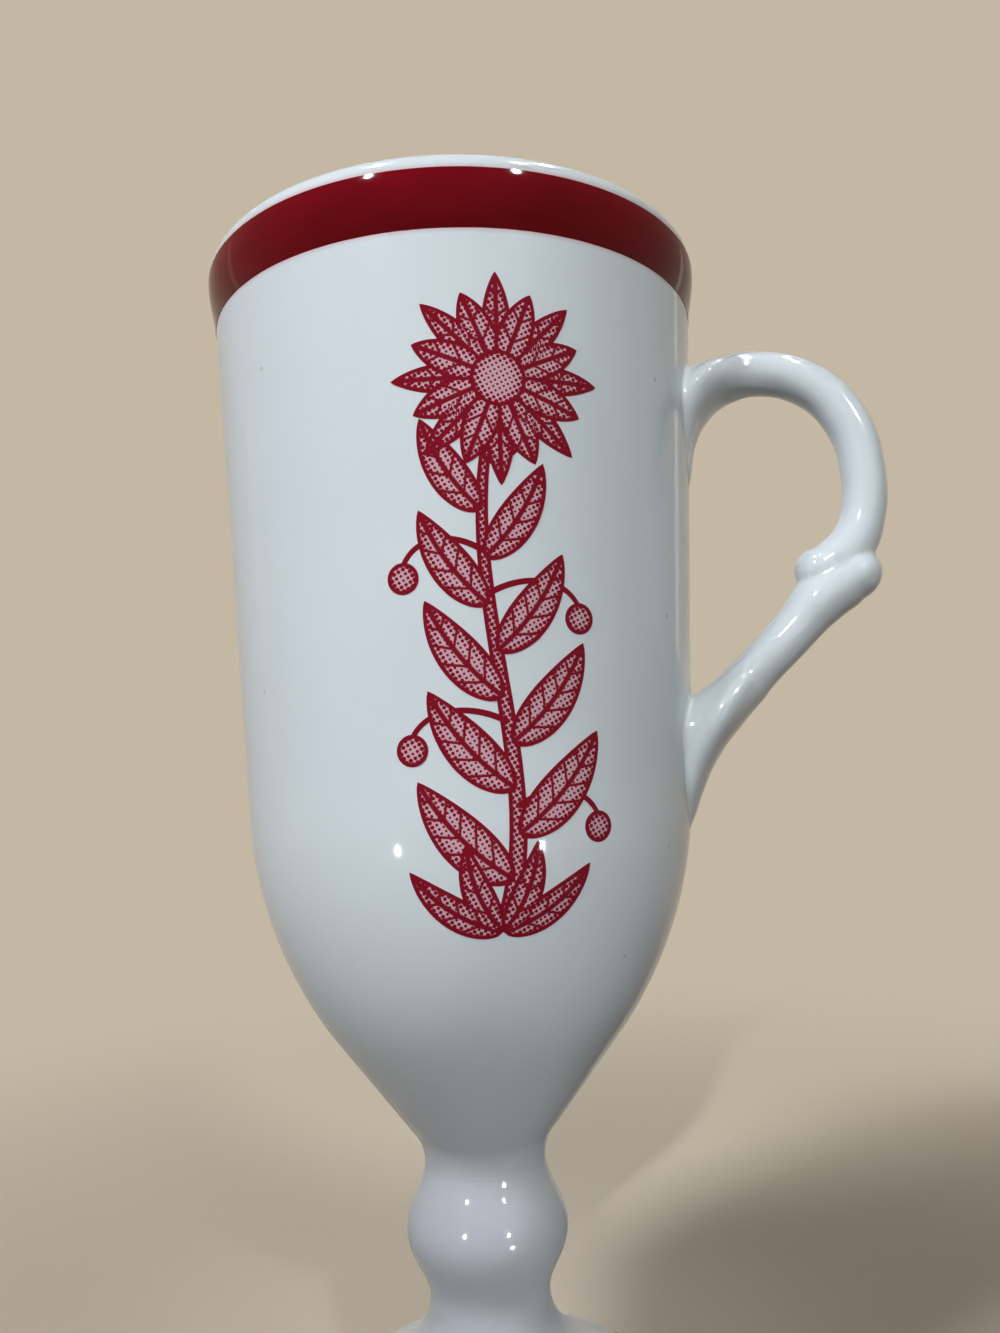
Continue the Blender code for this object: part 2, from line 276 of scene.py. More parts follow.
def trim(piece: bpy.types.Object, tool: bpy.types.Object, way: Trim) -> None:
    """Trim a piece with a closed tool and apply the result.

    Args:
        piece: Object that changes.
        tool: Closed object that trims it.
        way: What happens to the part inside the tool.
    """
    step = piece.modifiers.new("trim", "BOOLEAN")
    step.operation = way.value
    step.solver = "MANIFOLD"
    step.object = tool
    apply_modifiers(piece)


def weld(piece: bpy.types.Object) -> None:
    """Merge doubled points and drop the edges and faces that have no size.

    Args:
        piece: Object that changes.
    """
    pick(piece)
    bpy.ops.object.mode_set(mode="EDIT")
    bpy.ops.mesh.select_all(action="SELECT")
    bpy.ops.mesh.dissolve_degenerate(threshold=WELD)
    bpy.ops.mesh.remove_doubles(threshold=WELD)
    bpy.ops.object.mode_set(mode="OBJECT")


def cut(piece: bpy.types.Object, place: Vector, normal: Vector, drop_back: bool, fill: bool) -> None:
    """Cut a piece with a plane and drop one side.

    Args:
        piece: Object that changes.
        place: Point on the plane in metres.
        normal: Direction in which the plane faces.
        drop_back: Drop the side behind the plane, and otherwise the side before it.
        fill: Close the cut with a face.
    """
    pick(piece)
    bpy.ops.object.mode_set(mode="EDIT")
    bpy.ops.mesh.select_all(action="SELECT")
    bpy.ops.mesh.bisect(plane_co=place, plane_no=normal, use_fill=fill, clear_inner=drop_back,
                        clear_outer=not drop_back)
    bpy.ops.object.mode_set(mode="OBJECT")


def copy_of(piece: bpy.types.Object) -> bpy.types.Object:
    """Copy a piece together with its mesh.

    Args:
        piece: Object to copy.

    Returns:
        The copy.
    """
    pick(piece)
    bpy.ops.object.duplicate(linked=False)
    return bpy.context.active_object


def join(pieces: list[bpy.types.Object]) -> bpy.types.Object:
    """Join several objects into the first of them.

    Args:
        pieces: Objects to join.

    Returns:
        The joined object.
    """
    pick(pieces[0])
    for piece in pieces[1:]:
        piece.select_set(True)
    bpy.ops.object.join()
    return bpy.context.active_object


def remove(piece: bpy.types.Object) -> None:
    """Delete a tool that isn't needed any more."""
    bpy.data.objects.remove(piece, do_unlink=True)


def fit(piece: bpy.types.Object, node: str, material: bpy.types.Material) -> None:
    """Dress a piece and tie it to the frame.

    Args:
        piece: Finished piece.
        node: Frame node that the piece stands for.
        material: Finish of the piece.
    """
    piece.data.materials.clear()
    piece.data.materials.append(material)
    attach(piece, BODY)
    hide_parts(node)
    log.info("%s: %d faces", piece.name, len(piece.data.polygons))


def glossy(name: str, roughness: float, ior: float = 1.5, gloss: float = 0.5) -> bpy.types.Material:
    """Start a node material with an even gloss.

    Args:
        name: Name of the material.
        roughness: Roughness of the gloss.
        ior: Index of refraction.
        gloss: Strength of the gloss, where a half is what the index gives.

    Returns:
        The new material.
    """
    material = bpy.data.materials.new(name)
    material.use_nodes = True
    shader = material.node_tree.nodes["Principled BSDF"]
    shader.inputs["Roughness"].default_value = roughness
    shader.inputs["IOR"].default_value = ior
    shader.inputs["Specular IOR Level"].default_value = gloss
    return material


@dataclass(frozen=True)
class Glaze:
    """Clear gloss glaze on white porcelain: a pale, slightly cool white with soft waves and a few specks."""

    body: str = "#E4E8EA"
    shade: str = "#DADFE2"
    speck: str = "#9A958C"
    stain: str = "#D9A9AE"
    roughness: float = 0.08
    ior: float = 1.5
    cloud_mm: float = 14.0
    wave_mm: float = 7.0
    wave_depth_mm: float = 0.006
    speck_mm: float = 0.3
    speck_pitch_mm: float = 6.0
    speck_share: float = 0.45
    stain_mm: float = 0.5
    stain_share: float = 0.6

    def material(self, name: str, bowl: "Bowl | None" = None) -> bpy.types.Material:
        """Make the glaze's material.

        Args:
            name: Name of the material.
            bowl: Bowl whose band has bled a little red into the glaze beside its edges.

        Returns:
            A node material on Object coordinates.
        """
        # The glaze melts to a thick glassy skin: lamps show in it as small sharp dots, on a cool and even white.
        material = glossy(name, self.roughness, self.ior)
        tree = material.node_tree
        shader = tree.nodes["Principled BSDF"]
        place = add_node(tree, "ShaderNodeTexCoord", {}, {}).outputs["Object"]
        clouds = add_node(tree, "ShaderNodeTexNoise", {"Scale": 1 / (self.cloud_mm * MM), "Detail": 3.0},
                          {"Vector": place})
        tone = add_node(tree, "ShaderNodeMix", {"data_type": "RGBA", 6: srgb(self.body), 7: srgb(self.shade)},
                        {0: clouds.outputs["Fac"]}).outputs[2]
        cells = add_node(tree, "ShaderNodeTexVoronoi", {"Scale": 1 / (self.speck_pitch_mm * MM)}, {"Vector": place})
        reach = self.speck_mm / self.speck_pitch_mm
        dots = add_node(tree, "ShaderNodeMapRange",
                        {"From Min": reach / 2, "From Max": reach, "To Min": self.speck_share, "To Max": 0.0},
                        {"Value": cells.outputs["Distance"]})
        tone = add_node(tree, "ShaderNodeMix", {"data_type": "RGBA", 7: srgb(self.speck)},
                        {0: dots.outputs["Result"], 6: tone}).outputs[2]
        if bowl is not None:
            centred = add_node(tree, "ShaderNodeMapping", {"Location": (-bowl.axis_x, 0.0, 0.0)}, {"Vector": place})
            level = add_node(tree, "ShaderNodeVectorMath", {"operation": "MULTIPLY", 1: (1.0, 1.0, 0.0)},
                             {0: centred.outputs["Vector"]})
            reach = add_node(tree, "ShaderNodeVectorMath", {"operation": "LENGTH"}, {0: level.outputs["Vector"]})
            outside = add_node(tree, "ShaderNodeMath",
                               {"operation": "GREATER_THAN", 1: (bowl.lip_radius - bowl.wall / 2) * MM},
                               {0: reach.outputs["Value"]})
            height = add_node(tree, "ShaderNodeSeparateXYZ", {}, {"Vector": place})
            middle_z = (bowl.band_top_z + bowl.band_foot_z) / 2
            apart = add_node(tree, "ShaderNodeMath", {"operation": "SUBTRACT", 1: middle_z * MM},
                             {0: height.outputs["Z"]})
            apart = add_node(tree, "ShaderNodeMath", {"operation": "ABSOLUTE"}, {0: apart.outputs[0]})
            half = bowl.band_height / 2
            bleed = add_node(tree, "ShaderNodeMapRange",
                             {"From Min": half * MM, "From Max": (half + self.stain_mm) * MM,
                              "To Min": self.stain_share, "To Max": 0.0}, {"Value": apart.outputs[0]})
            stained = add_node(tree, "ShaderNodeMath", {"operation": "MULTIPLY"},
                               {0: bleed.outputs["Result"], 1: outside.outputs[0]})
            tone = add_node(tree, "ShaderNodeMix", {"data_type": "RGBA", 7: srgb(self.stain)},
                            {0: stained.outputs[0], 6: tone}).outputs[2]
        tree.links.new(tone, shader.inputs["Base Color"])
        waves = add_node(tree, "ShaderNodeTexNoise", {"Scale": 1 / (self.wave_mm * MM), "Detail": 1.0},
                         {"Vector": place})
        bump = add_node(tree, "ShaderNodeBump", {"Strength": 1.0, "Distance": self.wave_depth_mm * MM},
                        {"Height": waves.outputs["Fac"]})
        tree.links.new(bump.outputs["Normal"], shader.inputs["Normal"])
        return material


@dataclass(frozen=True)
class Enamel:
    """Red overglaze enamel, brushed on and fired: glossy, with faint streaks, lighter towards the lip and darker
    towards its foot.
    """

    colour: str = "#560006"
    lip_red: str = "#820518"
    roughness: float = 0.06
    ior: float = 1.52
    gloss: float = 0.08
    streak_mm: float = 2.5
    streak_stretch: float = 0.25
    foot_shift: float = -0.35
    lip_shift: float = 0.4

    def material(self, name: str, bowl: "Bowl") -> bpy.types.Material:
        """Make the enamel's material.

        Args:
            name: Name of the material.
            bowl: Bowl that carries the band.

        Returns:
            A node material on Object coordinates.
        """
        # Brushed enamel melts flat on the glaze: a deep red that shines, and is lighter towards the lip.
        material = glossy(name, self.roughness, self.ior, self.gloss)
        tree = material.node_tree
        shader = tree.nodes["Principled BSDF"]
        place = add_node(tree, "ShaderNodeTexCoord", {}, {})
        across = add_node(tree, "ShaderNodeMapping", {"Scale": (self.streak_stretch, self.streak_stretch, 1.0)},
                          {"Vector": place.outputs["Object"]})
        streaks = add_node(tree, "ShaderNodeTexNoise", {"Scale": 1 / (self.streak_mm * MM), "Detail": 4.0},
                           {"Vector": across.outputs["Vector"]})
        height = add_node(tree, "ShaderNodeSeparateXYZ", {}, {"Vector": place.outputs["Object"]})
        # The red runs from dark at the band's foot to lighter at the lip.
        drawn = add_node(tree, "ShaderNodeMapRange",
                         {"From Min": bowl.band_foot_z * MM, "From Max": bowl.band_top_z * MM,
                          "To Min": self.foot_shift, "To Max": self.lip_shift}, {"Value": height.outputs["Z"]})
        share = add_node(tree, "ShaderNodeMath", {"operation": "ADD", "use_clamp": True},
                         {0: drawn.outputs["Result"], 1: streaks.outputs["Fac"]})
        tone = add_node(tree, "ShaderNodeMix", {"data_type": "RGBA", 6: srgb(self.colour), 7: srgb(self.lip_red)},
                        {0: share.outputs[0]})
        tree.links.new(tone.outputs[2], shader.inputs["Base Color"])
        return material


@dataclass(frozen=True)
class Ink:
    """Engraved one-colour print under gloss: heavy outlines, ribs and veins, and even stipple that is denser at edges.

    The print's ink_map attribute holds the distance from the outline, the place along the veins' pitch and the
    distance from the rib, in millimetres but for the second.
    """

    colour: str = "#860A22"
    ground: str = "#D6AAB3"
    roughness: float = 0.06
    ior: float = 1.5
    gloss: float = 0.12
    dot_pitch_mm: float = 0.45
    dot_slant: float = math.radians(28.0)
    open_dot: float = 0.27
    dense_dot: float = 0.5
    dense_mm: float = 1.3
    outline_mm: float = 0.34
    rib_mm: float = 0.2
    line_soft_mm: float = 0.1
    vein_share: float = 0.15
    vein_soft: float = 0.06

    def material(self, name: str, turn: float) -> bpy.types.Material:
        """Make the ink's material.

        Args:
            name: Name of the material.
            turn: Turn of the print's middle round the cup in radians.

        Returns:
            A node material on the print's own attribute, with dots on Object coordinates.
        """
        # A transfer from an engraved plate, fired on: crisp dark lines, with a dotted half tone between them.
        material = glossy(name, self.roughness, self.ior, self.gloss)
        tree = material.node_tree
        shader = tree.nodes["Principled BSDF"]
        drawn = add_node(tree, "ShaderNodeAttribute", {"attribute_name": "ink_map"}, {})
        marks = add_node(tree, "ShaderNodeSeparateXYZ", {}, {"Vector": drawn.outputs["Vector"]})
        outline = add_node(tree, "ShaderNodeMapRange",
                           {"From Min": self.outline_mm, "From Max": self.outline_mm + self.line_soft_mm,
                            "To Min": 1.0, "To Max": 0.0}, {"Value": marks.outputs["X"]})
        phase = add_node(tree, "ShaderNodeMath", {"operation": "FRACT"}, {0: marks.outputs["Y"]})
        vein = add_node(tree, "ShaderNodeMapRange",
                        {"From Min": self.vein_share, "From Max": self.vein_share + self.vein_soft,
                         "To Min": 1.0, "To Max": 0.0}, {"Value": phase.outputs[0]})
        rib = add_node(tree, "ShaderNodeMapRange",
                       {"From Min": self.rib_mm, "From Max": self.rib_mm + self.line_soft_mm, "To Min": 1.0,
                        "To Max": 0.0}, {"Value": marks.outputs["Z"]})
        lines = add_node(tree, "ShaderNodeMath", {"operation": "MAXIMUM"},
                         {0: outline.outputs["Result"], 1: vein.outputs["Result"]})
        lines = add_node(tree, "ShaderNodeMath", {"operation": "MAXIMUM"},
                         {0: lines.outputs[0], 1: rib.outputs["Result"]})
        place = add_node(tree, "ShaderNodeTexCoord", {}, {})
        facing = add_node(tree, "ShaderNodeMapping", {"Rotation": (0.0, 0.0, -turn)},
                          {"Vector": place.outputs["Object"]})
        pitch = 1 / (self.dot_pitch_mm * MM)
        grid = add_node(tree, "ShaderNodeMapping",
                        {"Scale": (pitch, 0.0, pitch), "Rotation": (0.0, self.dot_slant, 0.0)},
                        {"Vector": facing.outputs["Vector"]})
        cells = add_node(tree, "ShaderNodeVectorMath", {"operation": "FRACTION"}, {0: grid.outputs["Vector"]})
        away = add_node(tree, "ShaderNodeVectorMath", {"operation": "DISTANCE", 1: (0.5, 0.0, 0.5)},
                        {0: cells.outputs["Vector"]})
        reach = add_node(tree, "ShaderNodeMapRange",
                         {"From Min": self.outline_mm, "From Max": self.dense_mm, "To Min": self.dense_dot,
                          "To Max": self.open_dot}, {"Value": marks.outputs["X"]})
        dots = add_node(tree, "ShaderNodeMath", {"operation": "LESS_THAN"},
                        {0: away.outputs["Value"], 1: reach.outputs["Result"]})
        ink = add_node(tree, "ShaderNodeMath", {"operation": "MAXIMUM"}, {0: lines.outputs[0], 1: dots.outputs[0]})
        tone = add_node(tree, "ShaderNodeMix",
                        {"data_type": "RGBA", 6: srgb(self.ground), 7: srgb(self.colour)}, {0: ink.outputs[0]})
        tree.links.new(tone.outputs[2], shader.inputs["Base Color"])
        return material


@dataclass
class Bowl:
    """The body of the cup: cavity, lip, tapering wall, shoulder, cone and the neck above the stem."""

    axis_x: float
    waist_radius: float = 6.8
    waist_z: float = 31.4
    slip: float = 0.6
    neck_fillet: float = 5.5
    cone_angle: float = math.radians(37.4)
    shoulder_radius: float = 45.0
    wall_taper: float = math.radians(2.94)
    wall: float = 2.8
    floor: float = 7.0
    lip_radius: float = 28.8
    lip_round: float = 1.9
    band_height: float = 5.6
    band_flare: float = 0.75
    rim_z: float = 133.3
    arc_steps: int = 24
    wall_steps: int = 24

    @property
    def band_top_z(self) -> float:
        """Height of the band's upper edge, where the lip's round begins."""
        return self.rim_z - self.lip_round

    @property
    def band_foot_z(self) -> float:
        """Height of the band's lower edge."""
        return self.band_top_z - self.band_height

    def wall_radius(self, z: float) -> float:
        """Outer radius of the straight wall at height z."""
        foot_radius = self.lip_radius - self.band_flare
        return foot_radius - (self.band_foot_z - z) * math.tan(self.wall_taper)

    def shoulder(self) -> tuple[Point, float]:
        """Centre of the shoulder's arc, and the height where the wall runs into it.

        Returns:
            The centre's radius and height, and the height of the arc's upper end.
        """
        cone_r = self.waist_radius + self.neck_fillet * (1 - math.cos(self.cone_angle))
        cone_z = self.waist_z + self.neck_fillet * math.sin(self.cone_angle)
        slope = math.tan(self.cone_angle)
        corner_z = (self.wall_radius(0.0) - cone_r + cone_z * slope) / (slope - math.tan(self.wall_taper))
        tangent = self.shoulder_radius * math.tan((self.cone_angle - self.wall_taper) / 2)
        top_z = corner_z + tangent * math.cos(self.wall_taper)
        centre_r = self.wall_radius(top_z) - self.shoulder_radius * math.cos(self.wall_taper)
        return (centre_r, top_z + self.shoulder_radius * math.sin(self.wall_taper)), top_z

    def outer_radius(self, z: float) -> float:
        """Outer radius of the wall or the shoulder.

        Args:
            z: Height above the table.

        Returns:
            The radius.
        """
        centre, top_z = self.shoulder()
        if z >= top_z:
            return self.wall_radius(z)
        return centre[0] + math.sqrt(self.shoulder_radius ** 2 - (z - centre[1]) ** 2)

    def flare(self, z: float) -> float:
        """Outer radius of the strip under the lip, which carries the wall on and ends upright.

        Args:
            z: Height above the table.

        Returns:
            The radius.
        """
        share = (z - self.band_foot_z) / self.band_height
        rise = math.tan(self.wall_taper) * self.band_height
        flared = self.band_flare * share ** 2 * (3 - 2 * share) + rise * share * (1 - share) ** 2
        return self.lip_radius - self.band_flare + flared

    def wall_and_shoulder(self, offset: float) -> list[Point]:
        """Points down the wall and round the shoulder.

        Args:
            offset: Distance by which they are moved out.

        Returns:
            The points.
        """
        centre, top_z = self.shoulder()
        points = []
        for i in range(self.wall_steps):
            z = self.band_foot_z + (top_z - self.band_foot_z) * i / self.wall_steps
            points.append((self.wall_radius(z) + offset, z))
        radius = self.shoulder_radius + offset
        return points + arc(centre, radius, -self.wall_taper, -self.cone_angle, self.arc_steps)

    def outside(self, offset: float = 0.0) -> list[Point]:
        """Points down the outside below the band.

        Args:
            offset: Distance by which they are moved out.

        Returns:
            The points.
        """
        neck_centre = (self.waist_radius + self.neck_fillet, self.waist_z)
        neck = arc(neck_centre, self.neck_fillet - offset, math.pi - self.cone_angle, math.pi, self.arc_steps)
        return self.wall_and_shoulder(offset) + neck

    def inside(self) -> list[Point]:
        """Points up the cavity.

        Returns:
            The points, from the middle of its floor to the foot of the lip.
        """
        wall = self.wall_and_shoulder(-self.wall)
        cone_r, cone_z = wall[-1]
        floor_z = self.waist_z + self.floor
        sine = math.sin(self.cone_angle)
        reach = cone_r * math.cos(self.cone_angle) + (floor_z - cone_z) * sine
        radius = reach / (1 - sine)
        floor = arc((0.0, floor_z + radius), radius, -math.pi / 2, -self.cone_angle, self.arc_steps)
        floor[0] = (0.0, floor_z)
        return floor + wall[::-1]

    def lip(self) -> list[Point]:
        """Points over the rounded lip.

        Returns:
            The points, from inside to outside.
        """
        half = self.wall / 2
        points = []
        for i in range(self.arc_steps + 1):
            angle = math.pi * (1 - i / self.arc_steps)
            points.append((self.lip_radius - half + half * math.cos(angle),
                           self.band_top_z + self.lip_round * math.sin(angle)))
        return points

    def strip(self, offset: float) -> list[Point]:
        """Points down the flared strip under the lip, moved out by offset."""
        heights = [self.band_top_z - self.band_height * i / self.arc_steps for i in range(self.arc_steps + 1)]
        return [(self.flare(z) + offset, z) for z in heights]

    def core(self, offset: float) -> bpy.types.Object:
        """Turn a solid tool with the bowl's outside.

        Args:
            offset: Distance by which the outside is moved out.

        Returns:
            The tool.
        """
        outline = self.outside(offset)
        ends = [(0.0, outline[0][1])], [(0.0, outline[-1][1])]
        return turned("core", ends[0] + outline + ends[1], self.axis_x)

    def build(self) -> bpy.types.Object:
        """Turn the whole bowl.

        Returns:
            The bowl.
        """
        face_z = self.waist_z + self.slip / 2
        outside = [point for point in self.outside() if point[1] > face_z]
        outline = self.inside() + self.lip() + self.strip(0.0)[1:-1] + outside
        outline += [(self.waist_radius, face_z), (0.0, face_z)]
        return turned("porcelain_bowl", outline, self.axis_x)

    def dress(self, glaze: Glaze) -> None:
        """Build the bowl and glaze it."""
        fit(self.build(), "bowl", glaze.material("glazed_bowl", self))


@dataclass
class Pedestal:
    """The stem with its ball knop, and the round foot with its trumpet flare and shallow recess."""

    axis_x: float
    waist_radius: float = 6.8
    waist_z: float = 31.4
    slip: float = 0.6
    knop_radius: float = 9.0
    knop_z: float = 24.2
    lower_neck_radius: float = 6.7
    lower_neck_z: float = 17.2
    foot_radius: float = 23.0
    foot_edge: float = 3.2
    foot_ring: float = 3.0
    recess: float = 6.0
    flare_angle: float = math.radians(38.0)
    neck_pull: float = 6.1
    edge_pull: float = 10.4
    arc_steps: int = 24

    def flare(self, edge_start: Point) -> list[Point]:
        """Points down the flare.

        Args:
            edge_start: Radius and height where the foot's rounded edge starts.

        Returns:
            The points, from the lower neck to that edge.
        """
        pulls = ((self.lower_neck_radius, self.lower_neck_z),
                 (self.lower_neck_radius, self.lower_neck_z - self.neck_pull),
                 (edge_start[0] - self.edge_pull * math.cos(self.flare_angle),
                  edge_start[1] + self.edge_pull * math.sin(self.flare_angle)),
                 edge_start)
        return [bezier(pulls, i / self.arc_steps) for i in range(self.arc_steps + 1)]

    def outline(self) -> list[Point]:
        """Points down the pedestal.

        Returns:
            The points, from the middle of its upper face to the middle of the recess.
        """
        face_z = self.waist_z - self.slip / 2
        knop = (self.knop_radius, self.knop_z)
        upper = swell((self.waist_radius, self.waist_z), knop, self.arc_steps)
        lower = swell(knop, (self.lower_neck_radius, self.lower_neck_z), self.arc_steps)
        round_radius = self.foot_edge / (1 + math.cos(self.flare_angle))
        edge_r = self.foot_radius - round_radius
        edge = arc((edge_r, round_radius), round_radius, math.pi / 2 - self.flare_angle, -math.pi / 2,
                   self.arc_steps)
        ring_r = edge_r - self.foot_ring
        recess = []
        for i in range(self.arc_steps + 1):
            angle = math.pi / 2 * i / self.arc_steps
            recess.append((ring_r * math.cos(angle), self.recess * math.sin(angle)))
        recess[-1] = (0.0, self.recess)
        stem = [(0.0, face_z), (self.waist_radius, face_z)] + [point for point in upper if point[1] < face_z]
        return stem + lower[1:] + self.flare(edge[0])[1:] + edge[1:] + recess

    def build(self) -> bpy.types.Object:
        """Turn the whole pedestal."""
        return turned("porcelain_pedestal", self.outline(), self.axis_x)

    def build_slip(self) -> bpy.types.Object:
        """Turn the layer of slip that sticks the bowl on the stem.

        Returns:
            The layer.
        """
        high = self.waist_z + self.slip / 2
        low = self.waist_z - self.slip / 2
        outline = [(0.0, high), (self.waist_radius, high), (self.waist_radius, self.waist_z),
                   (self.waist_radius, low), (0.0, low)]
        return turned("stem_slip_layer", outline, self.axis_x)

    def dress(self, glaze: Glaze, slip_glaze: bpy.types.Material) -> None:
        """Build the pedestal and its slip and glaze them."""
        fit(self.build(), "pedestal", glaze.material("glazed_pedestal"))
        fit(self.build_slip(), "stem_slip", slip_glaze)


@dataclass
class RimBand:
    """The red band under the lip: a thin skin of enamel on the flared strip."""

    bowl: Bowl
    proud: float = 0.04
    sunk: float = 0.15

    def build(self) -> bpy.types.Object:
        """Turn the band as a closed ring.

        Returns:
            The band.
        """
        outer = self.bowl.strip(self.proud)
        inner = self.bowl.strip(-self.sunk)
        outline = outer + inner[::-1] + outer[:1]
        return turned("red_rim_band", outline, self.bowl.axis_x)

    def dress(self, enamel: Enamel) -> None:
        """Build the band and colour it."""
        fit(self.build(), "rim_band", enamel.material("red_band_enamel", self.bowl))


@dataclass
class Handle:
    """The looped handle with its knuckle and straight arm, and the slip that sticks its roots on the wall.

    A station is a reach from the axis, a height and half the strand's thickness.
    """

    bowl: Bowl
    loop: tuple[Station, ...] = (
        (24.0, 115.0, 2.4), (28.5, 117.1, 2.6), (31.6, 118.1, 2.55), (34.9, 118.45, 2.4), (40.45, 116.7, 2.4),
        (44.5, 112.1, 2.4), (46.0, 105.7, 2.4), (45.6, 100.9, 2.4), (44.3, 97.9, 2.6), (42.3, 96.0, 2.7),
        (40.5, 95.0, 2.45))
    arm: tuple[Station, ...] = (
        (44.9, 94.9, 2.3), (43.0, 93.7, 3.0), (40.0, 91.5, 2.95), (38.2, 89.5, 2.62), (33.9, 85.2, 2.5),
        (30.6, 82.0, 2.7), (27.6, 79.4, 3.0), (24.0, 76.4, 3.0))
    upper_tail: tuple[Station, ...] = (
        (33.2, 118.4, 2.3), (29.9, 117.3, 2.35), (28.15, 115.7, 2.3), (26.4, 111.85, 1.9), (26.06, 107.0, 1.2),
        (25.6, 104.5, 0.6))
    lower_tail: tuple[Station, ...] = (
        (32.4, 83.3, 2.4), (29.2, 79.9, 2.5), (26.7, 76.4, 2.3), (25.1, 72.3, 1.8), (24.5, 69.4, 1.3),
        (23.9, 66.5, 0.6))
    strand_spread: float = 1.26
    root_spread: float = 1.9
    tail_spread: float = 2.6
    spread_reach: float = 36.0
    block: Station = (44.2, 94.3, 2.85)
    block_stretch: tuple[float, float, float] = (1.1, 1.3, 0.95)
    block_turn: float = math.radians(-30.0)
    bead: Station = (40.4, 95.3, 2.5)
    bead_stretch: tuple[float, float, float] = (1.0, 1.25, 1.0)
    ball_steps: tuple[int, int] = (96, 64)
    round_steps: int = 32
    run_steps: int = 24
    backing_margin: float = 18.0
    backing_reach: float = 20.0
    voxel: float = 0.24
    smooth_share: float = 0.5
    smooth_passes: int = 20
    slip_depth: float = 1.2
    proud: float = 0.02

    def strand(self, stations: tuple[Station, ...], root_spread: float) -> bpy.types.Object:
        """Draw a round strand through stations and widen it across the handle's plane, most at the wall.

        Args:
            stations: Places and half thicknesses along the strand.
            root_spread: Share by which it is widened at the wall.

        Returns:
            A closed tube.
        """
        deselect_all()
        bpy.ops.curve.primitive_bezier_curve_add(location=(0.0, 0.0, 0.0))
        tube = bpy.context.active_object
        curve = tube.data
        curve.dimensions = "3D"
        curve.bevel_depth = MM
        curve.bevel_resolution = self.round_steps
        curve.resolution_u = self.run_steps
        curve.use_fill_caps = True
        spline = curve.splines[0]
        spline.bezier_points.add(len(stations) - 2)
        for point, (reach, z, half) in zip(spline.bezier_points, stations):
            point.co = (self.bowl.axis_x + reach * MM, 0.0, z * MM)
            point.radius = half
            point.handle_left_type = "AUTO"
            point.handle_right_type = "AUTO"
        pick(tube)
        bpy.ops.object.convert(target="MESH")
        tube = bpy.context.active_object
        wall = self.bowl.lip_radius
        for vertex in tube.data.vertices:
            reach = (vertex.co.x - self.bowl.axis_x) / MM
            share = min(max((self.spread_reach - reach) / (self.spread_reach - wall), 0.0), 1.0)
            eased = share ** 2 * (3 - 2 * share)
            vertex.co.y *= self.strand_spread + (root_spread - self.strand_spread) * eased
        weld(tube)
        return tube

    def knob(self, station: Station, stretch: tuple[float, float, float], turn: float) -> bpy.types.Object:
        """Add a stretched ball, turned in the handle's plane.

        Args:
            station: Place and radius of the ball.
            stretch: Stretch along the handle's plane, across it and upwards.
            turn: Turn in the handle's plane in radians.

        Returns:
            A closed egg.
        """
        deselect_all()
        reach, z, radius = station
        place = (self.bowl.axis_x + reach * MM, 0.0, z * MM)
        bpy.ops.mesh.primitive_uv_sphere_add(segments=self.ball_steps[0], ring_count=self.ball_steps[1],
                                             radius=radius * MM, location=place, rotation=(0.0, turn, 0.0))
        ball = bpy.context.active_object
        ball.scale = stretch
        bpy.ops.object.transform_apply(location=True, rotation=True, scale=True)
        return ball

    def blank(self) -> bpy.types.Object:
        """Model the whole handle, with soft fillets to a backing on the wall, and trim it to the wall.

        Returns:
            The handle with the slip at its roots.
        """
        pieces = [self.strand(path, self.root_spread) for path in (self.loop, self.arm)]
        pieces += [self.strand(path, self.tail_spread) for path in (self.upper_tail, self.lower_tail)]
        pieces.append(self.knob(self.block, self.block_stretch, self.block_turn))
        pieces.append(self.knob(self.bead, self.bead_stretch, 0.0))
        backing = self.bowl.core(0.0)
        cut(backing, UP * (self.loop[0][1] + self.backing_margin) * MM, UP, drop_back=False, fill=True)
        cut(backing, UP * (self.arm[-1][1] - self.backing_margin) * MM, UP, drop_back=True, fill=True)
        cut(backing, OUT * (self.bowl.axis_x + self.backing_reach * MM), OUT, drop_back=True, fill=True)
        shape = join(pieces + [backing])
        remesh = shape.modifiers.new("skin", "REMESH")
        remesh.mode = "VOXEL"
        remesh.voxel_size = self.voxel * MM
        soften = shape.modifiers.new("soften", "SMOOTH")
        soften.factor = self.smooth_share
        soften.iterations = self.smooth_passes
        apply_modifiers(shape)
        core = self.bowl.core(self.proud)
        trim(shape, core, Trim.CUT_AWAY)
        remove(core)
        return self.without_crumbs(shape)

    def without_crumbs(self, shape: bpy.types.Object) -> bpy.types.Object:
        """Delete the crumbs of backing that the trimming leaves.

        Args:
            shape: Object in one or more loose parts.

        Returns:
            The largest part.
        """
        pick(shape)
        bpy.ops.object.mode_set(mode="EDIT")
        bpy.ops.mesh.select_all(action="SELECT")
        bpy.ops.mesh.separate(type="LOOSE")
        bpy.ops.object.mode_set(mode="OBJECT")
        parts = list(bpy.context.selected_objects)
        largest = max(parts, key=lambda part: len(part.data.vertices))
        for part in parts:
            if part is not largest:
                remove(part)
        return largest

